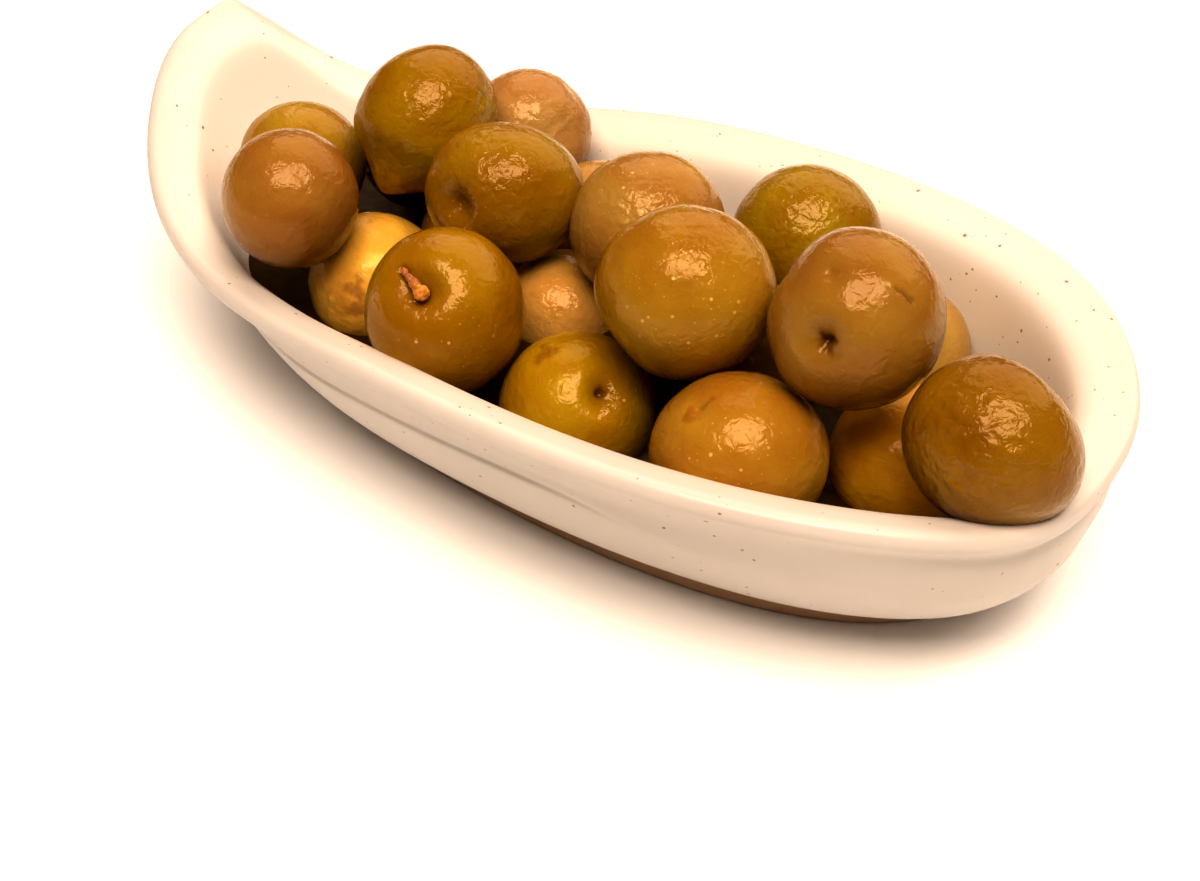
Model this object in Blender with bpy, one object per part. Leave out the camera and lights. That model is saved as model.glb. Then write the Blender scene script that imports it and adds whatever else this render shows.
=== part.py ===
"""A teardrop-shaped glazed dish, raised at its narrow end, heaped with large green olives."""
import math

import bmesh
import bpy
from mathutils import Vector

MM = 0.001
CLEARANCE = 0.3

# All sizes below are in millimetres.
# Rim of the dish in plan: a rounded teardrop, wider at its low end (+X)
HALF_LENGTH = 84.8
HALF_WIDTH = 45.0
WIDENING = 0.155
ROUNDNESS = 0.8

# Corner of the raised end, a little towards the far side: how far it stands up and out, and how far it spreads
TIP_ANGLE = math.radians(173.0)
TIP_RISE = 4.0
TIP_REACH = 0.6
TIP_SPREAD = math.radians(7.0)
# The raised end sweeps towards the far side, from this share of the half-length on
SWEEP = 4.5
SWEEP_START = 0.75

# Height of the rim at places along the dish, from the raised end to the wide end: (x, z)
RIM_HEIGHTS = ((-86, 42), (-79, 34), (-70, 28.2), (-55, 24.4), (-35, 26), (-10, 29.9),
               (20, 32.1), (55, 33.5), (72, 32.4), (86, 28.2))

# Foot: a long oval ring under the body
FOOT_CENTRE_X = 9.7
FOOT_HALF_LENGTH = 62.0
FOOT_HALF_WIDTH = 29.4
FOOT_ROUNDNESS = 0.89
FOOT_HEIGHT = 2.4
FOOT_TAPER = 0.6
FOOT_RING_WIDTH = 4.0
UNDERSIDE_HEIGHT = 1.5
UNDERSIDE_INSET = 5.0

# Outside of the body, from the foot up: (share of the way out from foot to rim, share of the rim's height)
BODY_PROFILE = ((0.03, 0.1), (0.19, 0.16), (0.36, 0.24), (0.51, 0.34), (0.64, 0.46), (0.74, 0.6), (0.79, 0.74))
# How full that profile is from the raised end (-1) to the wide end (1)
BODY_FULLNESS = ((-1, 0.98), (-0.85, 0.88), (-0.7, 0.84), (-0.3, 1.0), (0.4, 0.92), (0.8, 1.06), (1, 1.25))
FULLEST = 0.9

# Lip: a rounded edge with a cove under it, (inset from the rim, drop below it)
LIP_PROFILE = ((1.8, 5.2), (1.2, 3.6), (0.2, 2.8), (0.0, 1.6), (0.4, 0.4), (1.4, 0.0), (2.6, 0.2))

# Inside: the flare and its rounded shoulder, (inset from the rim, drop below it)
FLARE_PROFILE = ((5.5, 1.2), (8.0, 2.8), (9.4, 5.2))

# Wall of the well below the shoulder: (inset from the rim, share of the shoulder's height above the floor)
WALL_PROFILE = ((10.6, 0.65), (12.0, 0.3), (14.0, 0.08), (17.0, 0.0))
# At the raised end the wall slopes further in as it goes down, like a scoop
SCOOP_REACH = 17.0
SCOOP_CURVE = 1.5
SCOOP_FADE = 4
FLOOR_HEIGHT = 5.0
SPINE_SHARE = 0.55
SEGMENTS = 80

# Olives that show and those behind them: (centre, length, width, direction of the length)
ACROSS = (0.84, 0.54, 0.0)
UPRIGHT = (-0.35, 0.55, 0.76)
OLIVES = (
    ((-55.8, -3.5, 26.2), 21.0, 20.6, ACROSS),
    ((-41.5, -21.4, 33.8), 21.6, 21.1, UPRIGHT),
    ((-35.7, 4.5, 37.4), 25.4, 22.0, (0.08, 0.74, 0.67)),
    ((-29.3, 23.8, 28.6), 21.0, 20.8, ACROSS),
    ((-14.5, -2.6, 35.6), 24.6, 21.8, ACROSS),
    ((-33.4, -12.1, 16.6), 22.4, 22.0, UPRIGHT),
    ((-8.9, -24.9, 28.6), 25.0, 23.7, UPRIGHT),
    ((-3.8, -1.8, 16.2), 21.4, 21.4, ACROSS),
    ((7.0, 4.7, 33.9), 23.9, 23.5, ACROSS),
    ((23.8, -12.0, 38.5), 25.8, 24.7, ACROSS),
    ((23.6, 25.6, 27.8), 23.2, 22.4, ACROSS),
    ((48.2, -8.4, 42.8), 24.3, 24.1, UPRIGHT),
    ((11.7, -20.3, 17.2), 23.4, 23.2, ACROSS),
    ((39.9, -22.0, 23.8), 25.0, 23.2, ACROSS),
    ((55.7, -1.2, 16.6), 22.2, 21.6, UPRIGHT),
    ((71.2, -12.6, 36.0), 23.2, 22.9, ACROSS),
    ((44.2, 19.6, 18.0), 21.8, 21.4, ACROSS),
    ((-9.6, 17.0, 21.8), 20.6, 20.2, ACROSS),
    ((28.9, 2.5, 21.2), 22.0, 21.6, ACROSS),
    ((-26.7, 7.5, 16.7), 21.0, 20.6, ACROSS),
    ((9.5, 15.6, 16.1), 21.0, 20.6, ACROSS),
    ((-49.5, 17.8, 29.0), 20.0, 20.0, ACROSS),
    ((64.1, 15.8, 18.2), 18.6, 18.2, ACROSS),
)
OLIVE_SUBDIVISIONS = 3
# The olives press into each other by this much all round
PRESSED = 0.45

# Core that the olives are fused to: an oval block on the floor and a mound on it
CORE_INSET = 7.0
CORE_LEVELS = (FLOOR_HEIGHT + CLEARANCE, 14.0)
MOUND_CENTRE = (6.0, -2.0, 18.0)
MOUND_RADII = (60.0, 17.0, 15.0)

# Room for the heap above the dish: how far it reaches over the lip, and how high it stands over the rim
OVER_LIP = 3.0
HEAP_ROOM = 40.0

DISH_COLOR = (0.86, 0.78, 0.66)
DISH_ROUGHNESS = 0.18
OLIVE_COLOR = (0.27, 0.16, 0.03)
OLIVE_ROUGHNESS = 0.3
SHARP_ANGLE = math.radians(50)


def along(stations, place):
    """The value at a place between stations, on a smooth curve through them."""
    last = len(stations) - 1
    i = max(k for k in range(last) if stations[k][0] <= place or k == 0)
    slopes = []
    for k in (i, i + 1):
        before, after = stations[max(k - 1, 0)], stations[min(k + 1, last)]
        slopes.append((after[1] - before[1]) / (after[0] - before[0]))
    (x0, y0), (x1, y1) = stations[i], stations[i + 1]
    t = (place - x0) / (x1 - x0)
    rise = (2 * t**3 - 3 * t**2 + 1) * y0 + (3 * t**2 - 2 * t**3) * y1
    return rise + (x1 - x0) * ((t**3 - 2 * t**2 + t) * slopes[0] + (t**3 - t**2) * slopes[1])


def power(value, exponent):
    return math.copysign(abs(value) ** exponent, value)


def rim_point(angle, inset=0.0, drop=0.0):
    """A point of the rim, moved in towards the dish's spine and down."""
    along_x, across = math.cos(angle), math.sin(angle)
    x = HALF_LENGTH * along_x
    y = HALF_WIDTH * (1 + WIDENING * along_x) * power(across, ROUNDNESS)
    swept = SWEEP * (max(-along_x - SWEEP_START, 0) / (1 - SWEEP_START)) ** 2
    corner = math.exp(-abs(math.remainder(angle - TIP_ANGLE, math.tau)) / TIP_SPREAD) / (1 + inset)
    height = along(RIM_HEIGHTS, x) + TIP_RISE * corner
    inward = Vector((SPINE_SHARE * x - x, -y)).normalized() * (inset - TIP_REACH * corner)
    return Vector((x + inward.x, y + swept + inward.y, height - drop))


def foot_point(angle, inset, height):
    """A point of the foot's oval, nearest the rim point at the same angle."""
    x = FOOT_CENTRE_X + (FOOT_HALF_LENGTH - inset) * power(math.cos(angle), FOOT_ROUNDNESS)
    y = (FOOT_HALF_WIDTH - inset) * power(math.sin(angle), FOOT_ROUNDNESS)
    return Vector((x, y, height))


def body_point(angle, outwards, upwards):
    """A point of the body's outside, between the foot and the rim."""
    rim, foot = rim_point(angle), foot_point(angle, 0.0, 0.0)
    point = foot.lerp(rim, min(outwards * along(BODY_FULLNESS, math.cos(angle)), FULLEST))
    point.z = rim.z * upwards
    return point


def wall_point(angle, inset, upwards, gap=0.0):
    """A point of the well's wall, between the floor and the flare's shoulder."""
    scoop = SCOOP_REACH * (1 - upwards) ** SCOOP_CURVE * max(-math.cos(angle), 0) ** SCOOP_FADE
    shoulder = rim_point(angle, inset + scoop + gap, FLARE_PROFILE[-1][1] - gap)
    shoulder.z = FLOOR_HEIGHT + gap + (shoulder.z - FLOOR_HEIGHT - gap) * upwards
    return shoulder


def ring(point, *numbers):
    return [point(math.tau * (i + 0.5) / SEGMENTS, *numbers) for i in range(SEGMENTS)]


def dish_rings():
    """The dish's surface from the middle of its underside, round the lip, to its floor."""
    rings = [ring(foot_point, UNDERSIDE_INSET, UNDERSIDE_HEIGHT), ring(foot_point, FOOT_RING_WIDTH, 0.0)]
    rings += [ring(foot_point, 0.0, 0.0), ring(foot_point, FOOT_TAPER, FOOT_HEIGHT)]
    rings += [ring(body_point, *step) for step in BODY_PROFILE]
    rings += [ring(rim_point, *step) for step in LIP_PROFILE + FLARE_PROFILE]
    rings += [ring(wall_point, *step) for step in WALL_PROFILE]
    return rings


def lofted(name, rings):
    """A closed solid through rings of points, each with as many points as the next."""
    bm = bmesh.new()
    loops = [[bm.verts.new(point * MM) for point in points] for points in rings]
    for low, high in zip(loops, loops[1:]):
        for i in range(SEGMENTS):
            j = (i + 1) % SEGMENTS
            bm.faces.new((low[i], low[j], high[j], high[i]))
    bm.faces.new(reversed(loops[0]))
    bm.faces.new(loops[-1])
    bmesh.ops.recalc_face_normals(bm, faces=bm.faces)
    mesh = bpy.data.meshes.new(name)
    bm.to_mesh(mesh)
    bm.free()
    return bpy.data.objects.new(name, mesh)


def well_space():
    """The room inside the dish, kept clear of its walls, up to well above the heap."""
    rings = [ring(wall_point, *step, CLEARANCE) for step in reversed(WALL_PROFILE)]
    rings += [ring(rim_point, inset + CLEARANCE, drop - CLEARANCE) for inset, drop in reversed(FLARE_PROFILE)]
    lip_inset, lip_drop = LIP_PROFILE[-2]
    rings.append(ring(rim_point, lip_inset + CLEARANCE, lip_drop - CLEARANCE))
    rings.append(ring(rim_point, -OVER_LIP, -OVER_LIP))
    rings.append(ring(rim_point, -OVER_LIP, -HEAP_ROOM))
    return lofted("well_space", rings)


def ellipsoid(name, centre, radii, direction=(1, 0, 0)):
    """An ellipsoid whose first radius lies along a direction."""
    bm = bmesh.new()
    bmesh.ops.create_icosphere(bm, subdivisions=OLIVE_SUBDIVISIONS, radius=1.0)
    bmesh.ops.scale(bm, vec=Vector(radii) * MM, verts=bm.verts)
    turn = Vector(direction).to_track_quat("X", "Z").to_matrix()
    bmesh.ops.rotate(bm, cent=(0, 0, 0), matrix=turn, verts=bm.verts)
    bmesh.ops.translate(bm, vec=Vector(centre) * MM, verts=bm.verts)
    mesh = bpy.data.meshes.new(name)
    bm.to_mesh(mesh)
    bm.free()
    return bpy.data.objects.new(name, mesh)


def heap_of_olives(collection, cutters):
    """The olives that show, fused to a smaller core and kept clear of the dish."""
    low, high = CORE_LEVELS
    core = lofted("olives", [ring(foot_point, CORE_INSET, low), ring(foot_point, CORE_INSET, high)])
    collection.objects.link(core)
    pieces = bpy.data.collections.new("olives_to_join")
    bpy.context.scene.collection.children.link(pieces)
    pieces.objects.link(ellipsoid("mound", MOUND_CENTRE, MOUND_RADII))
    for number, (centre, length, width, direction) in enumerate(OLIVES):
        half_length, half_width = length / 2 + PRESSED, width / 2 + PRESSED
        olive = ellipsoid(f"olive_{number}", centre, (half_length, half_width, half_width), direction)
        pieces.objects.link(olive)
    union = core.modifiers.new("join", "BOOLEAN")
    union.operation, union.operand_type, union.collection = "UNION", "COLLECTION", pieces
    space = well_space()
    space.hide_render = True
    space.display_type = "WIRE"
    cutters.objects.link(space)
    fit = core.modifiers.new("fit", "BOOLEAN")
    fit.operation, fit.object = "INTERSECT", space
    apply_modifiers(core)
    for piece in list(pieces.objects):
        bpy.data.objects.remove(piece)
    bpy.data.collections.remove(pieces)
    return core


def apply_modifiers(thing):
    """Replaces an object's mesh by what its modifiers make of it."""
    graph = bpy.context.evaluated_depsgraph_get()
    mesh = bpy.data.meshes.new_from_object(thing.evaluated_get(graph))
    thing.modifiers.clear()
    thing.data = mesh


def glaze_or_skin(name, color, roughness):
    material = bpy.data.materials.new(name)
    material.use_nodes = True
    shader = material.node_tree.nodes["Principled BSDF"]
    shader.inputs["Base Color"].default_value = (*color, 1.0)
    shader.inputs["Roughness"].default_value = roughness
    shader.inputs["Metallic"].default_value = 0.0
    return material


def new_collection(name):
    collection = bpy.data.collections.new(name)
    bpy.context.scene.collection.children.link(collection)
    return collection


def main():
    for old in list(bpy.data.objects):
        bpy.data.objects.remove(old)
    parts, cutters = new_collection("dish_of_olives"), new_collection("cutters")
    dish = lofted("dish", dish_rings())
    parts.objects.link(dish)
    heap = heap_of_olives(parts, cutters)
    dish.data.materials.append(glaze_or_skin("cream_glaze", DISH_COLOR, DISH_ROUGHNESS))
    heap.data.materials.append(glaze_or_skin("olive_skin", OLIVE_COLOR, OLIVE_ROUGHNESS))
    for piece in (dish, heap):
        piece.data.shade_smooth()
        piece.data.set_sharp_from_angle(angle=SHARP_ANGLE)


main()
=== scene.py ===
"""A teardrop-shaped glazed dish heaped with large green olives, on a pale floor in soft light."""
import math

import bmesh
import bpy
from mathutils import Matrix, Vector, noise


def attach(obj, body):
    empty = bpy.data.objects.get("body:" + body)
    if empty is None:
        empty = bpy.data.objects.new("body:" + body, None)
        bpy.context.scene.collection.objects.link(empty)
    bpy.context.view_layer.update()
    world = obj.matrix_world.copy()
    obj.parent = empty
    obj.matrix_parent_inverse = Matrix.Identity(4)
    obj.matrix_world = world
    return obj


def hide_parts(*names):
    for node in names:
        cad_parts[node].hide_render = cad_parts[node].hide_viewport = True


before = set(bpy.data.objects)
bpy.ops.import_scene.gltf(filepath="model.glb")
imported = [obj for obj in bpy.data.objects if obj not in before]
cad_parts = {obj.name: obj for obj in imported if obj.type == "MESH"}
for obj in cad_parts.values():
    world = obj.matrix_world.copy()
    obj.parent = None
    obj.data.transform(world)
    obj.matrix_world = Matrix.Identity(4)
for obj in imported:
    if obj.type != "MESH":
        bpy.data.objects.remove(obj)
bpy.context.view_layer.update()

MM = 0.001

# Camera: where it stands in millimetres, its own right and up directions, and its lens
CAMERA_PLACE = (119.57, -181.43, 176.51)
CAMERA_RIGHT = (0.8266, 0.56198, 0.03029)
CAMERA_UP = (-0.38393, 0.52373, 0.76046)
CAMERA_LENS = 51.0
SENSOR_WIDTH = 36.0
CLIP_START = 0.01


def along(stations, place):
    """The value at a place between stations, on a smooth curve through them."""
    last = len(stations) - 1
    i = max(k for k in range(last) if stations[k][0] <= place or k == 0)
    slopes = []
    for k in (i, i + 1):
        before, after = stations[max(k - 1, 0)], stations[min(k + 1, last)]
        slopes.append((after[1] - before[1]) / (after[0] - before[0]))
    (x0, y0), (x1, y1) = stations[i], stations[i + 1]
    t = (place - x0) / (x1 - x0)
    rise = (2 * t**3 - 3 * t**2 + 1) * y0 + (3 * t**2 - 2 * t**3) * y1
    return rise + (x1 - x0) * ((t**3 - 2 * t**2 + t) * slopes[0] + (t**3 - t**2) * slopes[1])


def power(value, exponent):
    """A power that keeps the sign."""
    return math.copysign(abs(value) ** exponent, value)


def smooth_step(low, high, value):
    t = min(max((value - low) / (high - low), 0.0), 1.0)
    return t * t * (3 - 2 * t)


class Value:
    """A socket of a node tree that can be added, taken away and multiplied."""

    def __init__(self, finish, socket):
        self.finish, self.socket = finish, socket

    def sums(self, operation, first, second):
        return self.finish.add("ShaderNodeMath", {"operation": operation}, {0: first, 1: second})

    def __add__(self, other):
        return self.sums("ADD", self, other)

    def __radd__(self, other):
        return self.sums("ADD", other, self)

    def __sub__(self, other):
        return self.sums("SUBTRACT", self, other)

    def __rsub__(self, other):
        return self.sums("SUBTRACT", other, self)

    def __mul__(self, other):
        return self.sums("MULTIPLY", self, other)

    def __rmul__(self, other):
        return self.sums("MULTIPLY", other, self)

    def most(self, other):
        return self.sums("MAXIMUM", self, other)


class Finish:
    """A material: its node tree, and the sockets of its shader that stay the same all over."""

    def __init__(self, name, **constants):
        self.material = bpy.data.materials.new(name)
        self.material.use_nodes = True
        self.tree = self.material.node_tree
        self.shader = self.tree.nodes["Principled BSDF"]
        for socket, value in constants.items():
            self.shader.inputs[socket.replace("_", " ")].default_value = value

    def add(self, kind, settings, inputs, output=0):
        """A node of a kind, with its settings, then the values or links of its inputs."""
        node = self.tree.nodes.new(kind)
        for setting, value in settings.items():
            setattr(node, setting, value)
        for socket, value in inputs.items():
            if isinstance(value, Value):
                self.tree.links.new(value.socket, node.inputs[socket])
            else:
                node.inputs[socket].default_value = value
        return Value(self, node.outputs[output])

    def place(self):
        return self.add("ShaderNodeTexCoord", {}, {}, "Object")

    def grain(self, place, size, detail=2.0, roughness=0.5, distortion=0.0):
        """Soft noise from 0 to 1 with blobs of a size in millimetres."""
        inputs = {"Vector": place, "Scale": 1 / (size * MM), "Detail": detail}
        inputs.update({"Roughness": roughness, "Distortion": distortion})
        return self.add("ShaderNodeTexNoise", {}, inputs)

    def shaken(self, place, size, reach, detail):
        """A place moved about by soft noise, with a reach in millimetres."""
        inputs = {0: place, 1: self.grain(place, size, detail) * (reach * MM)}
        return self.add("ShaderNodeVectorMath", {"operation": "ADD"}, inputs)

    def cells(self, place, size, output, feature="F1"):
        inputs = {"Vector": place, "Scale": 1 / (size * MM)}
        return self.add("ShaderNodeTexVoronoi", {"feature": feature}, inputs, output)

    def fade(self, value, low, high, to_low=0.0, to_high=1.0):
        inputs = {"Value": value, "From Min": low, "From Max": high}
        inputs.update({"To Min": to_low, "To Max": to_high})
        return self.add("ShaderNodeMapRange", {"interpolation_type": "SMOOTHSTEP"}, inputs)

    def mix(self, factor, first, second):
        inputs = {0: factor, 6: first, 7: second}
        return self.add("ShaderNodeMix", {"data_type": "RGBA"}, inputs, 2)

    def part_of(self, colour, channel="Red"):
        return self.add("ShaderNodeSeparateColor", {}, {"Color": colour}, channel)

    def attribute(self, name):
        return self.add("ShaderNodeAttribute", {"attribute_name": name}, {}, "Color")

    def bump(self, height, depth):
        """Relief from a height of 0 to 1, with a depth in millimetres."""
        return self.add("ShaderNodeBump", {}, {"Height": height, "Distance": depth * MM})

    def drive(self, socket, value):
        self.tree.links.new(value.socket, self.shader.inputs[socket])


def piece_of(name, bm, finish, node):
    """A finished piece from a bmesh, which stands for a node of the solid model."""
    mesh = bpy.data.meshes.new(name)
    bm.to_mesh(mesh)
    bm.free()
    mesh.shade_smooth()
    mesh.materials.append(finish.material)
    piece = bpy.data.objects.new(name, mesh)
    bpy.context.scene.collection.objects.link(piece)
    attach(piece, "root")
    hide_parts(node)
    return piece


# Dish, in millimetres: plan of the rim and its heights at stations along x
HALF_LENGTH = 84.8
HALF_WIDTH = 45.0
WIDENING = 0.155
ROUNDNESS = 0.8
TIP_ANGLE = math.radians(173.0)
TIP_RISE = 4.0
TIP_REACH = 0.6
TIP_SPREAD = math.radians(7.0)
SWEEP = 4.5
SWEEP_START = 0.75
RIM_HEIGHTS = (
    (-86, 42), (-79, 34), (-70, 28.2), (-55, 24.4), (-35, 26), (-10, 29.9),
    (20, 32.1), (55, 33.5), (72, 32.4), (86, 28.2),
)

# Foot: each step's inset from the foot's plan and its height
FOOT_CENTRE_X = 9.7
FOOT_HALF_LENGTH = 62.0
FOOT_HALF_WIDTH = 29.4
FOOT_ROUNDNESS = 0.89
FOOT_STEPS = (
    (5.0, 1.5), (4.4, 1.4), (4.0, 0.2), (3.6, 0.0), (0.5, 0.0), (0.1, 0.2), (0.1, 0.6), (0.5, 2.2),
)

# Body: each step's share of the way out from foot to rim and of the rim's height
BODY_PROFILE = (
    (0.01, 0.085), (0.03, 0.1), (0.19, 0.16), (0.36, 0.24),
    (0.51, 0.34), (0.64, 0.46), (0.74, 0.6), (0.79, 0.74),
)
BODY_FULLNESS = (
    (-1, 0.98), (-0.85, 0.88), (-0.7, 0.84), (-0.3, 1.0), (0.4, 0.92), (0.8, 1.06), (1, 1.25),
)
FULLEST = 0.9

# Crease on the near outer wall: its height by the angle in degrees, where it fades in and out,
# and each of its steps above its middle with a depth
CREASE_HEIGHTS = ((235, 0.64), (258, 0.66), (284, 0.66), (298, 0.56), (310, 0.56))
CREASE_START = (232, 250)
CREASE_END = (278, 294)
CREASE_STEPS = ((-0.045, 0.0), (-0.016, 0.0), (0.0, 0.6), (0.022, 0.1), (0.05, 0.0))
CREASE_SLANT = 0.3

# Lip, flare and inner wall: each step's inset from the rim, and its drop or share of the height
LIP_PROFILE = ((2.3, 5.2), (1.2, 3.6), (0.2, 2.8), (0.0, 1.6), (0.4, 0.4), (1.4, 0.0), (2.6, 0.2))
FLARE_PROFILE = ((5.5, 1.2), (8.0, 2.8), (9.4, 5.2))
WALL_PROFILE = ((10.6, 0.65), (12.0, 0.3), (14.0, 0.08), (17.0, 0.0))
SCOOP_REACH = 17.0
SCOOP_CURVE = 1.5
SCOOP_FADE = 4
FLOOR_HEIGHT = 5.0
SPINE_SHARE = 0.55
DISH_SEGMENTS = 144
DISH_LEVELS = 2
INSIDE_STEPS = (25, 29)

# Flat base of the heap, in the dish's well, dark as painted shade
BASE_HEIGHT = 13.5
BASE_DEPTH = 4.0
BASE_OVERLAP = 0.4


def rim_point(angle, inset=0.0, drop=0.0):
    """A point of the rim, moved in towards the dish's spine and down."""
    along_x, across = math.cos(angle), math.sin(angle)
    x = HALF_LENGTH * along_x
    y = HALF_WIDTH * (1 + WIDENING * along_x) * power(across, ROUNDNESS)
    swept = SWEEP * (max(-along_x - SWEEP_START, 0) / (1 - SWEEP_START)) ** 2
    corner = math.exp(-abs(math.remainder(angle - TIP_ANGLE, math.tau)) / TIP_SPREAD) / (1 + inset)
    height = along(RIM_HEIGHTS, x) + TIP_RISE * corner
    inward = Vector((SPINE_SHARE * x - x, -y)).normalized() * (inset - TIP_REACH * corner)
    return Vector((x + inward.x, y + swept + inward.y, height - drop))


def foot_point(angle, inset, height):
    """A point of the foot, moved in from its plan."""
    x = FOOT_CENTRE_X + (FOOT_HALF_LENGTH - inset) * power(math.cos(angle), FOOT_ROUNDNESS)
    y = (FOOT_HALF_WIDTH - inset) * power(math.sin(angle), FOOT_ROUNDNESS)
    return Vector((x, y, height))


def body_point(angle, outwards, upwards):
    """A point of the outer wall, a share of the way from foot to rim."""
    rim, foot = rim_point(angle), foot_point(angle, 0.0, 0.0)
    point = foot.lerp(rim, min(outwards * along(BODY_FULLNESS, math.cos(angle)), FULLEST))
    point.z = rim.z * upwards
    return point


def wall_point(angle, inset, upwards):
    """A point of the inner wall, scooped out towards the raised end."""
    scoop = SCOOP_REACH * (1 - upwards) ** SCOOP_CURVE * max(-math.cos(angle), 0) ** SCOOP_FADE
    shoulder = rim_point(angle, inset + scoop, FLARE_PROFILE[-1][1])
    shoulder.z = FLOOR_HEIGHT + (shoulder.z - FLOOR_HEIGHT) * upwards
    return shoulder


def crease_point(angle, above, depth):
    """A point of the outer wall near its shallow crease, pressed in by a depth."""
    turn = math.degrees(angle % math.tau)
    station = min(max(turn, CREASE_HEIGHTS[0][0]), CREASE_HEIGHTS[-1][0])
    upwards = along(CREASE_HEIGHTS, station) + above
    outwards = along([(step[1], step[0]) for step in BODY_PROFILE], upwards)
    point = body_point(angle, outwards, upwards)
    strength = smooth_step(*CREASE_START, turn) * (1 - smooth_step(*CREASE_END, turn))
    outward = Vector((point.x * CREASE_SLANT, point.y, 0)).normalized()
    return point - outward * (depth * strength)


DISH_STEPS = (
    [(foot_point, step) for step in FOOT_STEPS]
    + [(body_point, step) for step in BODY_PROFILE[:-2]]
    + [(crease_point, step) for step in CREASE_STEPS]
    + [(body_point, BODY_PROFILE[-1])]
    + [(rim_point, step) for step in LIP_PROFILE + FLARE_PROFILE]
    + [(wall_point, step) for step in WALL_PROFILE]
)


def dish_shape():
    """A profile spun once round, each of its points then pushed out to the teardrop plan."""
    bm = bmesh.new()
    profile = [bm.verts.new((1.0 + step, 0, 0)) for step in range(len(DISH_STEPS))]
    edges = [bm.edges.new(pair) for pair in zip(profile, profile[1:])]
    bmesh.ops.spin(
        bm, geom=profile + edges, cent=(0, 0, 0), axis=(0, 0, 1), dvec=(0, 0, 0),
        angle=math.tau, steps=DISH_SEGMENTS, use_merge=True,
    )
    layer = bm.verts.layers.float_color.new("inside")
    for vert in bm.verts:
        angle = math.atan2(vert.co.y, vert.co.x)
        step = round(vert.co.length - 1.0)
        point, numbers = DISH_STEPS[step]
        vert.co = point(angle, *numbers) * MM
        inside = smooth_step(*INSIDE_STEPS, step)
        vert[layer] = (inside, inside, inside, 1.0)
    bmesh.ops.holes_fill(bm, edges=[edge for edge in bm.edges if edge.is_boundary], sides=0)
    bmesh.ops.recalc_face_normals(bm, faces=bm.faces)
    return bm


def wall_at(angle, height):
    """The point of the inner wall at a height, a little way into the wall."""
    above = wall_point(angle, *WALL_PROFILE[0])
    for step in WALL_PROFILE[1:]:
        below = wall_point(angle, *step)
        if below.z <= height:
            break
        above = below
    point = above.lerp(below, (above.z - height) / (above.z - below.z))
    outward = Vector(((1 - SPINE_SHARE) * point.x, point.y, 0)).normalized()
    return point + outward * BASE_OVERLAP


def base_shape():
    """The flat base of the heap, dark as painted shade, which fills the dish's well under the
    lowest olives.
    """
    bm = bmesh.new()
    bmesh.ops.create_cone(
        bm, cap_ends=True, segments=DISH_SEGMENTS, radius1=1.0, radius2=1.0, depth=1.0,
    )
    for vert in bm.verts:
        height = BASE_HEIGHT if vert.co.z > 0 else BASE_HEIGHT - BASE_DEPTH
        vert.co = wall_at(math.atan2(vert.co.y, vert.co.x), height) * MM
    return bm


# Glaze: tones of the outside and the inside, one cream glaze painted darker outside as painted
# shade and paler inside as painted light; kinds of iron speck, each with its spacing in
# millimetres, its radius as a share of that, its tone and how many places hold one; bare clay
OUTER_GLAZE_SHADED = ((0.66, 0.62, 0.575, 1), (0.64, 0.595, 0.55, 1))
INNER_GLAZE_LIT = ((0.87, 0.83, 0.775, 1), (0.85, 0.805, 0.745, 1))
CLOUD_SIZE = 30.0
SPECKS = (
    (3.1, 0.09, (0.24, 0.15, 0.085, 1), 0.6),
    (4.6, 0.08, (0.36, 0.13, 0.07, 1), 0.7),
    (1.7, 0.1, (0.38, 0.27, 0.18, 1), 0.35),
)
SPECK_EDGE = 0.55
COVERING = 0.85
GLAZE_EDGE = (2.6 * MM, 2.2 * MM)
GLAZE_WAVE = 0.6 * MM
CLAY_TONE = (0.60, 0.36, 0.20, 1)
CLAY_ROUGHNESS = 0.7
GLAZE_ROUGHNESS = (0.35, 0.45)
GLAZE_RIPPLE = (2.4, 0.006)


def glaze():
    """Glossy cream glaze with sparse iron specks, painted paler inside the dish as painted light
    and darker outside as painted shade.
    """
    finish = Finish("cream_glaze", Coat_Roughness=0.08, Coat_Weight=0.1, IOR=1.42)
    place = finish.place()
    cloudy = finish.fade(finish.grain(place, CLOUD_SIZE, 3.0), 0.35, 0.7)
    outer, inner = finish.mix(cloudy, *OUTER_GLAZE_SHADED), finish.mix(cloudy, *INNER_GLAZE_LIT)
    # Painted light and shade: the inside share picks the paler inner tone, the rest the darker
    # outer tone
    tone = finish.mix(finish.part_of(finish.attribute("inside")), outer, inner)
    for size, radius, colour, share in SPECKS:
        shaken = finish.shaken(place, 1.1, 0.6, 1.0)
        near = finish.fade(finish.cells(shaken, size, "Distance"), radius, radius * SPECK_EDGE)
        chosen = finish.part_of(finish.cells(shaken, size, "Color"))
        speck = near * finish.fade(chosen, 1 - share, 1 - share + 0.1)
        tone = finish.mix(speck * COVERING, tone, colour)
    height = finish.add("ShaderNodeSeparateXYZ", {}, {"Vector": place}, "Z")
    bare = finish.fade(height + finish.grain(place, 4.0) * GLAZE_WAVE, *GLAZE_EDGE)
    finish.drive("Base Color", finish.mix(bare * COVERING, tone, CLAY_TONE))
    roughness = finish.fade(finish.grain(place, 8.0, 2.0), 0.2, 0.8, *GLAZE_ROUGHNESS)
    finish.drive("Roughness", roughness.most(bare * CLAY_ROUGHNESS))
    ripple, depth = GLAZE_RIPPLE
    finish.drive("Normal", finish.bump(finish.grain(place, ripple, 1.0), depth))
    return finish


def toward(direction):
    return Vector(direction).normalized()


def mottle(point, size, seed, detail=3):
    """Soft noise round nought at a point, with blobs of a size."""
    shift = Vector((seed * 7.3, seed * 3.1, seed * 1.7))
    return noise.fractal(point / size + shift, 1.0, 2.0, detail)


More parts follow.
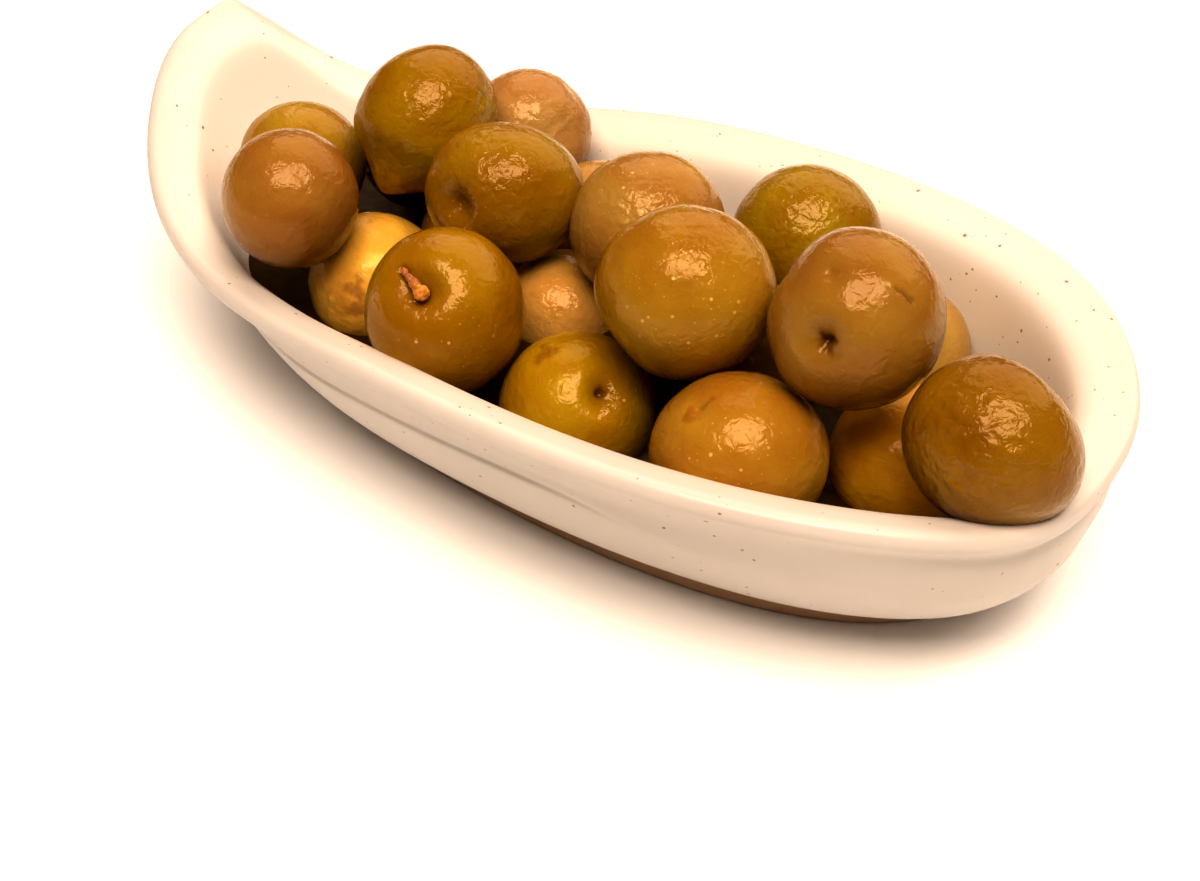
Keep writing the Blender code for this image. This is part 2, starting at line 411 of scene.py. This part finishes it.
class SkinPoint:
    """One point of an olive's skin: how far it moves out, its tone, and its fine marks."""

    def __init__(self, point, radius, seed, tone):
        self.point, self.radius, self.seed = point, radius, seed
        self.out, self.tone, self.dots, self.fine = 0.0, tone, 0.0, 0.0

    def tint(self, colour, strength):
        self.tone = self.tone.lerp(Vector(colour), strength)

    def mottle(self, size, shift=0.0, detail=2):
        return mottle(self.point, size, self.seed + shift, detail)

    def distance(self, place):
        """Distance over the skin to a direction from the middle."""
        return self.radius * math.acos(min(max(self.point.dot(place), -1.0), 1.0))

    def distance_to_line(self, start, end):
        """Distance to the stretch between two directions, and the share of the way along it."""
        stretch = end - start
        share = (self.point - start).dot(stretch) / stretch.length_squared
        share = min(max(share, 0.0), 1.0)
        return (self.point - (start + stretch * share)).length * self.radius, share


# Marks: each takes a point of the skin, the mark's own direction, and its sizes in millimetres
WIDE_DENT = 4.8
TIP_TAPER = math.pi / 3
ALONG_FOLDS = 0.72


def dent(skin, place, size, depth):
    """A soft hollow, darkened with painted shade where it is narrow and deep, or a swelling if the
    depth is negative.
    """
    away = skin.distance(place)
    skin.out -= depth * math.exp(-((away / size) ** 2))
    if size < WIDE_DENT:
        # Painted shade: narrow deep hollows are darkened towards the stem brown
        shade = min(max(depth - 0.5, 0.0), 1.0) * math.exp(-((away / (0.8 * size)) ** 2))
        skin.tint(STEM_BROWN_AND_SHADE, 0.45 * shade)


def hole(skin, place, size, depth):
    """A stem pit: an uneven funnel, darkened inside partly with the pit's own brown and partly with
    painted shade.
    """
    away = skin.distance(place) * (1 + 0.5 * skin.mottle(0.12))
    skin.out -= depth * (1 - smooth_step(0.0, 1.4 * size, away))
    # Partly the pit's own brown, partly painted shade in the recess
    skin.tint(STEM_BROWN_AND_SHADE, 0.9 * (1 - smooth_step(0.5 * size, 1.5 * size, away)))


def tip(skin, place, size, height, taper):
    """A small point at the end, with the skin drawn in round it."""
    away = skin.distance(place)
    skin.out += height * math.exp(-((away / size) ** 1.5))
    if away < skin.radius * TIP_TAPER:
        skin.out -= taper * math.sin(3 * away / skin.radius) ** 2


def slot(skin, place, end, width, depth):
    """A ragged groove that deepens towards its end, darkened inside with painted shade."""
    away, share = skin.distance_to_line(place, toward(end))
    away *= 1 + 0.2 * skin.mottle(0.1)
    away += 0.5 * width * skin.mottle(0.25, 2)
    skin.out -= depth * (0.5 + 0.5 * share) * (1 - smooth_step(0.2 * width, 1.2 * width, away))
    # Painted shade inside the groove
    skin.tint(STEM_BROWN_AND_SHADE, 0.6 * min(depth, 1.0) * (1 - smooth_step(0.4 * width, 1.3 * width, away)))


def wrinkles(skin, place, size, depth, length, stretch):
    """Folds in a patch, drawn out along one direction."""
    patch = math.exp(-((skin.distance(place) / size) ** 4))
    lie = toward(stretch)
    spot = skin.point * skin.radius
    spot = spot - lie * (spot.dot(lie) * ALONG_FOLDS)
    spot += Vector((1.0, 0.7, 0.4)) * (1.1 * skin.mottle(0.35))
    shift = Vector((skin.seed, skin.seed * 2.0, 0.0))
    folds = 1 - 2.2 * abs(noise.noise(spot / length + shift))
    spread = patch * (0.6 + 0.8 * skin.mottle(0.4, 5))
    skin.out += depth * folds * max(spread, 0.0)
    skin.fine = max(skin.fine, patch)


def cracks(skin, place, size, depth, length):
    """A net of soft creases in a patch."""
    patch = math.exp(-((skin.distance(place) / size) ** 4))
    spot = skin.point * skin.radius / length + Vector((skin.seed * 3.0, 1.0, skin.seed))
    near = noise.voronoi(spot + Vector((0.5, 0.3, 0.1)) * skin.mottle(0.2))[0]
    skin.out -= 0.55 * depth * (1 - smooth_step(0.0, 0.3, near[1] - near[0])) * patch


def blotch(skin, place, size, colour, strength):
    """A stain with an uneven edge."""
    away = skin.distance(place) + 0.9 * size * skin.mottle(0.16, detail=3)
    skin.tint(colour, strength * (1 - smooth_step(0.4 * size, 1.3 * size, away)))


def dots(skin, place, size):
    """A patch of pale dots, which the finish draws."""
    skin.dots = max(skin.dots, 1 - smooth_step(0.6 * size, 1.2 * size, skin.distance(place)))


# Directions in which olives lie, and tones of marks on them
ACROSS = (0.84, 0.54, 0.0)
UPRIGHT = (-0.35, 0.55, 0.76)
# Dark brown of stem pits, also laid into hollows, pits and grooves as painted shade
STEM_BROWN_AND_SHADE = (0.075, 0.018, 0.004)
PALE = (0.9, 0.6, 0.25)
RED_BROWN = (0.17, 0.045, 0.012)
AMBER = (0.42, 0.24, 0.006)
RUSSET = (0.25, 0.09, 0.008)
BRUISE = (0.22, 0.09, 0.006)
SCAR = (0.34, 0.15, 0.02)

# Each olive: centre, length, width, direction of the length, tone, and what marks it
OLIVES = (
    ((-55.8, -3.5, 26.2), 21.0, 20.6, ACROSS, (0.395, 0.254, 0.0282), ()),
    ((-41.5, -21.4, 33.8), 21.6, 21.1, UPRIGHT, (0.349, 0.189, 0.0378), (
        (dent, (-0.25, -0.72, 0.65), 2.2, 0.25),
        (dent, (0.55, -0.3, 0.78), 1.5, 0.2),
        (wrinkles, (-0.55, -0.5, 0.6), 5.0, 0.14, 1.3, (0.2, 0.6, 0.7)),
        (cracks, (0.5, -0.55, 0.67), 4.5, 0.05, 0.9))),
    ((-35.7, 4.5, 37.4), 25.4, 22.0, (0.08, 0.74, 0.67), (0.336, 0.207, 0.00727), (
        (tip, (-0.02, -0.81, -0.58), 1.8, 0.9, 1.0),
        (blotch, (-0.02, -0.81, -0.58), 4.5, AMBER, 0.8),
        (wrinkles, (0.77, 0.42, 0.49), 7.0, 0.2, 1.5, (-0.4, 0.75, 0.5)),
        (cracks, (0.45, -0.6, 0.66), 6.0, 0.12, 1.5),
        (wrinkles, (0.48, -0.4, 0.75), 6.5, 0.14, 1.2, (0.4, 0.6, 0.7)))),
    ((-29.3, 23.8, 28.6), 21.6, 21.4, ACROSS, (0.473, 0.305, 0.106), (
        (wrinkles, (0.6, 0.1, 0.75), 8.0, 0.2, 2.4, (0.2, 0.9, 0.3)),
        (cracks, (0.2, -0.5, 0.8), 5.0, 0.08, 1.2),
        (dent, (0.85, -0.2, 0.5), 3.0, 0.5),
        (dent, (0.5, 0.5, 0.7), 2.5, 0.4))),
    ((-14.5, -2.6, 35.6), 24.6, 21.8, ACROSS, (0.325, 0.194, 0.01), (
        (dent, (-0.12, -0.97, 0.2), 2.6, 2.2),
        (dent, (-0.3, -0.9, 0.35), 3.6, 0.9),
        (wrinkles, (0.32, -0.55, 0.78), 6.5, 0.16, 0.9, (0.3, 0.5, 0.8)),
        (cracks, (0.3, -0.62, 0.72), 5.0, 0.1, 1.0),
        (wrinkles, (-0.3, -0.1, 0.95), 7.0, 0.14, 1.4, (0.8, 0.5, 0.2)),
        (dots, (0.1, -0.95, 0.0), 6.0))),
    ((-33.4, -12.1, 16.6), 22.4, 22.0, UPRIGHT, (0.864, 0.594, 0.108), (
        (blotch, (0.37, -0.81, 0.46), 1.8, RED_BROWN, 0.5),
        (blotch, (0.41, -0.89, 0.21), 1.5, RED_BROWN, 0.5),
        (blotch, (0.2, -0.95, 0.3), 3.0, RUSSET, 0.3),
        (dots, (-0.2, -0.9, 0.3), 5.0))),
    ((-8.9, -24.9, 28.6), 25.0, 23.7, UPRIGHT, (0.355, 0.207, 0.00745), (
        (dent, (0.2, -0.62, 0.76), 3.4, 1.5),
        (dent, (-0.05, -0.57, 0.82), 3.0, 0.7),
        (slot, (-0.24, -0.5, 0.83), (0.18, -0.64, 0.75), 0.95, 1.0),
        (dots, (0.6, -0.7, 0.2), 7.0))),
    ((-3.8, -1.8, 16.2), 21.4, 21.4, ACROSS, (0.609, 0.374, 0.0974), (
        (cracks, (0.2, -0.6, 0.78), 5.0, 0.1, 1.6),
        (wrinkles, (0.1, -0.5, 0.85), 5.0, 0.1, 1.0, (0.3, 0.6, 0.7)))),
    ((7.0, 4.7, 33.9), 23.9, 23.5, ACROSS, (0.415, 0.261, 0.0645), (
        (cracks, (0.2, -0.62, 0.76), 5.0, 0.12, 1.1),
        (dent, (0.1, -0.7, 0.7), 1.6, 0.3),
        (wrinkles, (0.29, -0.58, 0.76), 5.5, 0.17, 1.1, (0.8, 0.5, 0.3)),
        (dots, (0.0, -0.6, 0.7), 8.0))),
    ((23.8, -12.0, 38.5), 25.8, 24.7, ACROSS, (0.391, 0.238, 0.0235), (
        (cracks, (0.32, -0.47, 0.82), 4.5, 0.06, 0.9),
        (wrinkles, (0.2, -0.1, 0.97), 6.0, 0.12, 1.6, (0.8, 0.5, 0.0)),
        (dent, (-0.43, -0.76, -0.48), 6.5, 1.1),
        (dots, (0.4, -0.7, 0.5), 9.0))),
    ((23.6, 25.6, 27.8), 23.4, 22.8, ACROSS, (0.343, 0.234, 0.0114), (
        (cracks, (0.24, -0.6, 0.76), 6.5, 0.2, 1.8),
        (wrinkles, (0.3, -0.5, 0.8), 8.0, 0.16, 1.4, (0.3, 0.6, 0.5)),
        (wrinkles, (-0.5, -0.3, 0.8), 5.0, 0.16, 1.8, (0.5, 0.6, 0.5)))),
    ((48.2, -8.4, 42.8), 24.3, 24.1, UPRIGHT, (0.343, 0.202, 0.036), (
        (dent, (0.04, -0.96, 0.26), 3.0, 1.8),
        (hole, (0.06, -0.97, 0.24), 1.3, 1.2),
        (dent, (-0.15, -0.52, 0.84), 1.5, 0.5),
        (slot, (0.52, -0.3, 0.8), (0.72, -0.24, 0.66), 0.35, 0.5),
        (dent, (-0.87, -0.16, 0.4), 6.0, 1.0),
        (dent, (-0.31, -0.76, -0.55), 6.0, -0.7),
        (cracks, (0.05, -0.6, 0.8), 4.5, 0.06, 0.9))),
    ((11.7, -20.3, 17.2), 23.4, 23.2, ACROSS, (0.428, 0.276, 0.00891), (
        (dent, (0.58, -0.32, 0.75), 2.8, 1.5),
        (hole, (0.59, -0.3, 0.75), 0.9, 0.9),
        (dots, (0.72, -0.1, 0.69), 3.5),
        (blotch, (-0.3, -0.24, 0.92), 2.0, BRUISE, 0.7),
        (wrinkles, (-0.35, -0.15, 0.93), 3.0, 0.12, 1.2, (0.5, 0.6, 0.2)),
        (wrinkles, (0.75, -0.2, 0.6), 3.0, 0.12, 1.0, (0.5, 0.6, 0.2)))),
    ((39.9, -22.0, 23.8), 25.0, 23.2, ACROSS, (0.44, 0.255, 0.03), (
        (dent, (-0.38, -0.45, 0.81), 1.7, 0.5),
        (blotch, (-0.41, -0.5, 0.77), 1.2, SCAR, 0.9),
        (tip, (-0.42, -0.51, 0.76), 0.6, 0.4, 0.0),
        (slot, (-0.36, -0.4, 0.84), (-0.3, -0.27, 0.91), 0.4, 0.4),
        (dots, (0.35, -0.8, 0.5), 10.0),
        (cracks, (0.2, -0.6, 0.78), 4.5, 0.05, 1.0))),
    ((55.7, -1.2, 16.6), 22.2, 21.6, UPRIGHT, (0.80, 0.45, 0.03), (
        (dots, (0.2, -0.8, 0.5), 9.0),)),
    ((71.2, -12.6, 36.0), 23.2, 22.9, ACROSS, (0.273, 0.149, 0.00869), (
        (wrinkles, (0.1, -0.8, 0.6), 10.0, 0.2, 1.4, (0.8, 0.3, -0.3)),
        (cracks, (0.05, -0.55, 0.83), 5.0, 0.16, 1.4),
        (wrinkles, (0.2, -0.95, 0.1), 8.0, 0.24, 1.2, (0.9, 0.2, -0.2)),
        (dent, (0.07, -0.98, 0.21), 1.4, 0.4),
        (wrinkles, (-0.5, -0.8, 0.2), 6.0, 0.2, 1.4, (0.3, 0.5, 0.8)),
        (dent, (0.31, 0.76, 0.55), 8.0, 2.0),
        (dent, (0.81, 0.08, -0.44), 7.0, -1.1))),
    ((44.2, 19.6, 18.0), 22.5, 22.0, ACROSS, (0.458, 0.309, 0.0836), ()),
    ((-9.6, 17.0, 21.8), 21.2, 20.8, ACROSS, (0.484, 0.339, 0.0966), ()),
    ((28.9, 2.5, 21.2), 22.0, 21.6, ACROSS, (0.283, 0.186, 0.0117), ()),
    ((-26.7, 7.5, 16.7), 21.0, 20.6, ACROSS, (0.62, 0.35, 0.015), ()),
    ((9.5, 15.6, 16.1), 21.0, 20.6, ACROSS, (0.143, 0.079, 0.00301), ()),
    ((-46.0, 14.5, 24.0), 20.4, 20.2, ACROSS, (0.12, 0.0752, 0.00301), (
        (dots, (-0.5, 0.5, 0.7), 9.0),)),
    ((58.0, 14.0, 13.0), 18.6, 18.2, ACROSS, (0.143, 0.079, 0.00301), ()),
)

# Every olive: fineness of its mesh, lumps, second tone, and how its underside is darkened with
# painted shade
OLIVE_LEVEL = 6
LUMP_SIZE = 0.8
LUMPINESS = 0.022
SHRINKAGE = 0.004
FINE_LUMP_SIZE = 0.1
FINE_LUMPS = 0.03
MOTTLE_SIZE = 0.9
SECOND_TONE = Vector((0.86, 0.72, 0.7))
UNDERSIDE_PAINTED_SHADE = Vector((0.5, 0.33, 0.15))
UNDER_DIRECTION = Vector((0.2, -0.25, 0.95))
FIRST_SEED = 0.5
SEED_STEP = 1.618


def skin_layers(bm):
    """Layers for the tone with its painted shade, and for the strength of dots and of fine
    crinkles.
    """
    new_layer = bm.verts.layers.float_color.new
    return new_layer("skin"), new_layer("marks")


def olive_shape(bm, layers, number):
    """One olive with its lumps, dents, wrinkles and tones, its underside darkened with painted
    shade, added to a bmesh.
    """
    centre, length, width, direction, tone, marks = OLIVES[number]
    marks = [(mark, toward(place), sizes) for mark, place, *sizes in marks]
    lie = toward(direction)
    seed = number * SEED_STEP + FIRST_SEED
    main_tone = Vector(tone)
    second_tone = main_tone * SECOND_TONE
    radius = (length + 2 * width) / 6
    made = bmesh.ops.create_icosphere(bm, subdivisions=OLIVE_LEVEL, radius=1.0)
    for vert in made["verts"]:
        point = vert.co.normalized()
        lengthwise = point.dot(lie) ** 2
        reach = 1 / math.sqrt(lengthwise / (length / 2) ** 2 + (1 - lengthwise) / (width / 2) ** 2)
        mottling = smooth_step(-0.6, 0.6, mottle(point, MOTTLE_SIZE, seed))
        upper_tone = main_tone.lerp(second_tone, mottling)
        # Painted shade: the tone darkens on the side facing away from UNDER_DIRECTION
        under = smooth_step(-0.1, 0.6, -point.dot(UNDER_DIRECTION))
        skin = SkinPoint(point, radius, seed, upper_tone.lerp(upper_tone * UNDERSIDE_PAINTED_SHADE, under))
        for mark, place, sizes in marks:
            mark(skin, place, *sizes)
        lumps = LUMPINESS * skin.mottle(LUMP_SIZE, 9) - SHRINKAGE
        fine = FINE_LUMPS * skin.mottle(FINE_LUMP_SIZE, 3, 3)
        reach += radius * lumps + fine + skin.out
        vert.co = (Vector(centre) + point * reach) * MM
        vert[layers[0]] = (*skin.tone, 1.0)
        vert[layers[1]] = (skin.dots, skin.fine, 0.0, 1.0)


def olives_shape(numbers):
    bm = bmesh.new()
    layers = skin_layers(bm)
    for number in numbers:
        olive_shape(bm, layers, number)
    return bm


# Olive skin: streaks, pale dots with their spacing and radii, gloss, hairlines and crinkles
STREAK_TONE = (0.38, 0.19, 0.01, 1)
STREAK_STRENGTH = 0.26
DOT_SPACING, DOT_EDGE = 2.3, (0.15, 0.07)
SMALL_DOT_SPACING, SMALL_DOT_EDGE = 1.15, (0.14, 0.08)
SMALL_DOT_STRENGTH = 0.55
SKIN_ROUGHNESS = (0.09, 0.22)
HAIRLINE_SPACING, HAIRLINE_EDGE = 2.1, (0.07, 0.0)
CRINKLE_SIZE = 1.5
SKIN_RELIEF = 0.22


def olive_skin():
    """Wet olive skin: tones from the piece, pale dots and fine crinkles."""
    finish = Finish(
        "olive_skin", IOR=1.44, Specular_Tint=(1.0, 0.8, 0.58, 1.0),
        Subsurface_Weight=0.15, Subsurface_Scale=0.003, Subsurface_Radius=(1.0, 0.45, 0.1),
    )
    place = finish.place()
    marks = finish.attribute("marks")
    dotted, fine = finish.part_of(marks), finish.part_of(marks, "Green")
    clouds = finish.grain(place, 5.0, 4.0, 0.6, 0.6)
    streaks = finish.fade(clouds, 0.35, 0.75, 0.0, STREAK_STRENGTH)
    tone = finish.mix(streaks, finish.attribute("skin"), STREAK_TONE)
    near = finish.fade(finish.cells(place, DOT_SPACING, "Distance"), *DOT_EDGE)
    chosen = finish.part_of(finish.cells(place, DOT_SPACING, "Color"))
    dot = near * finish.fade(chosen, 0.2, 0.3)
    small = finish.fade(finish.cells(place, SMALL_DOT_SPACING, "Distance"), *SMALL_DOT_EDGE)
    dot = dot.most(small * SMALL_DOT_STRENGTH)
    finish.drive("Base Color", finish.mix(dot * (dotted * 0.5 + 0.06), tone, (*PALE, 1)))
    gloss = finish.grain(place, 2.2, 4.0)
    finish.drive("Roughness", finish.fade(gloss, 0.3, 0.7, *SKIN_ROUGHNESS))
    shaken = finish.shaken(place, 2.0, 2.0, 2.0)
    edges = finish.cells(shaken, HAIRLINE_SPACING, "Distance", "DISTANCE_TO_EDGE")
    patches = finish.fade(finish.grain(place, 5.0, 2.0), 0.42, 0.62)
    hairlines = finish.fade(edges, *HAIRLINE_EDGE) * patches
    crinkle = finish.grain(place, CRINKLE_SIZE, 2.0, 0.5, 0.6)
    height = crinkle * (fine * 0.5 + 0.75) - hairlines * (fine * 0.1 + 0.03)
    finish.drive("Normal", finish.bump(height, SKIN_RELIEF))
    return finish


# Middle of the heap, a dark mound standing for painted shade, in millimetres
MIDDLE_CENTRE = Vector((4.0, -1.0, 12.4))
MIDDLE_RADII = Vector((54.0, 19.0, 7.0))
SWELLING = 0.06
SHADE_TONES = ((0.045, 0.02, 0.007, 1), (0.075, 0.034, 0.012, 1))
SHADE_ROUGHNESS = (0.4, 0.55)


def middle_shape():
    """The middle of the heap, a low mound under the olives, dark as painted shade."""
    bm = bmesh.new()
    made = bmesh.ops.create_icosphere(bm, subdivisions=5, radius=1.0)
    for vert in made["verts"]:
        point = vert.co.normalized()
        swell = 1 + SWELLING * mottle(point, 0.3, 2.0)
        swelled = Vector((point.x * swell, point.y * swell, point.z))
        vert.co = (MIDDLE_CENTRE + swelled * MIDDLE_RADII) * MM
    return bm


def shade():
    """Painted shade: the dark brown that stands for the deep shade between the olives."""
    finish = Finish("shaded_middle", Specular_IOR_Level=0.12)
    place = finish.place()
    # Painted shade tones
    finish.drive("Base Color", finish.mix(finish.grain(place, 6.0, 3.0), *SHADE_TONES))
    gloss = finish.grain(place, 2.0)
    finish.drive("Roughness", finish.fade(gloss, 0.3, 0.7, *SHADE_ROUGHNESS))
    return finish


# Stem in the slot of one olive: where the slot runs, and for each knob its share of the way,
# its size, how far it lies outside the skin, its tone, and how much longer than wide it is
STEM_OLIVE = 6
STEM_START, STEM_END = (-0.22, -0.5, 0.83), (0.17, -0.64, 0.74)
STEM_RADIUS = 12.1
STEM_KNOBS = (
    (0.12, 0.5, -0.5, (0.40, 0.155, 0.055), 0.8),
    (0.4, 0.55, -0.55, (0.40, 0.155, 0.055), 0.8),
    (0.68, 0.75, -0.6, (0.42, 0.175, 0.05), 0.8),
    (1.0, 1.15, -0.5, (0.58, 0.27, 0.06), 0.05),
)


def stub_shape():
    """The broken end of a stem, lying in the slot of one olive."""
    bm = bmesh.new()
    layers = skin_layers(bm)
    centre = Vector(OLIVES[STEM_OLIVE][0])
    start, end = toward(STEM_START), toward(STEM_END)
    lie = (end - start).normalized()
    for share, size, lift, colour, stretch in STEM_KNOBS:
        knob = centre + toward(start.lerp(end, share)) * (STEM_RADIUS + lift)
        made = bmesh.ops.create_icosphere(bm, subdivisions=4, radius=1.0)
        for vert in made["verts"]:
            point = vert.co.normalized()
            stretched = point + lie * (point.dot(lie) * stretch)
            bumpy = 1 + 0.16 * mottle(point, 0.5, share * 9)
            vert.co = (knob + stretched * (size * bumpy)) * MM
            tone = Vector(colour) * (1 + 0.5 * mottle(point, 0.4, share * 5))
            vert[layers[0]] = (*tone, 1.0)
            vert[layers[1]] = (0.0, 0.0, 0.0, 1.0)
    return bm


# Floor and light, in metres and watts: each light's place, size and power
FLOOR_SIZE = 3.0
FLOOR_TONES = ((0.92, 0.92, 0.92, 1), (0.93, 0.93, 0.93, 1))
WARM = (1.0, 0.83, 0.69)
ROOM_LIGHT = 0.08
SOFTBOXES = (
    ("softbox", (0.28, -0.35, 1.20), (2.1, 1.24), 3.0),
    ("softbox_middle", (0.238, -0.348, 1.196), (1.12, 0.65), 25.0),
    ("window", (-0.18, 1.07, 0.98), (2.4, 1.5), 22.0),
)
CONTRAST = 1.4
BLACK_LEVEL = (0.003, 0.004, 0.006)


def set_up(name, data, place, right, up):
    """A light or camera at a place, with its own right and up directions."""
    thing = bpy.data.objects.new(name, data)
    turn = Matrix((right, up, right.cross(up))).transposed().to_4x4()
    thing.matrix_world = Matrix.Translation(place) @ turn
    bpy.context.scene.collection.objects.link(thing)
    return thing


def pale_floor():
    bm = bmesh.new()
    bmesh.ops.create_grid(bm, x_segments=1, y_segments=1, size=FLOOR_SIZE)
    mesh = bpy.data.meshes.new("floor")
    bm.to_mesh(mesh)
    bm.free()
    floor = bpy.data.objects.new("floor", mesh)
    bpy.context.scene.collection.objects.link(floor)
    finish = Finish("pale_floor", Roughness=0.7, Specular_IOR_Level=0.2)
    clouds = finish.grain(finish.place(), 60.0, 2.0)
    finish.drive("Base Color", finish.mix(clouds, *FLOOR_TONES))
    mesh.materials.append(finish.material)


def soft_light():
    """Softboxes that face the middle of the floor, and the glow of the room."""
    for name, place, size, watts in SOFTBOXES:
        light = bpy.data.lights.new(name, "AREA")
        light.shape = "RECTANGLE"
        light.size, light.size_y = size
        light.energy = watts
        light.color = WARM
        back, side = toward(place), Vector(CAMERA_RIGHT)
        side = (side - back * side.dot(back)).normalized()
        set_up(name, light, place, side, back.cross(side))
    world = bpy.data.worlds.new("soft_room")
    world.use_nodes = True
    backdrop = world.node_tree.nodes["Background"]
    backdrop.inputs["Color"].default_value = (*WARM, 1.0)
    backdrop.inputs["Strength"].default_value = ROOM_LIGHT
    bpy.context.scene.world = world


def camera():
    data = bpy.data.cameras.new("camera")
    data.lens, data.sensor_width = CAMERA_LENS, SENSOR_WIDTH
    data.clip_start = CLIP_START
    place = Vector(CAMERA_PLACE) * MM
    eye = set_up("camera", data, place, toward(CAMERA_RIGHT), toward(CAMERA_UP))
    bpy.context.scene.camera = eye


def picture_tone():
    """The picture's contrast and its slightly raised black level."""
    view = bpy.context.scene.view_settings
    view.view_transform = "Standard"
    view.gamma = 1 / CONTRAST
    view.use_curve_mapping = True
    view.curve_mapping.black_level = BLACK_LEVEL
    view.curve_mapping.update()


OLIVE_PIECES = (
    ("olives_left", range(0, 6)),
    ("olives_middle", range(6, 12)),
    ("olives_right", range(12, 18)),
    ("olives_under", range(18, 23)),
)


def main():
    dish = piece_of("dish_glazed", dish_shape(), glaze(), "dish")
    smooth = dish.modifiers.new("smooth", "SUBSURF")
    smooth.levels = smooth.render_levels = DISH_LEVELS
    skin, shaded = olive_skin(), shade()
    for name, numbers in OLIVE_PIECES:
        piece_of(name, olives_shape(numbers), skin, "olives")
    piece_of("stem_stub", stub_shape(), skin, "olives")
    piece_of("heap_middle", middle_shape(), shaded, "olives")
    piece_of("heap_base", base_shape(), shaded, "olives")
    pale_floor()
    soft_light()
    camera()
    picture_tone()


main()
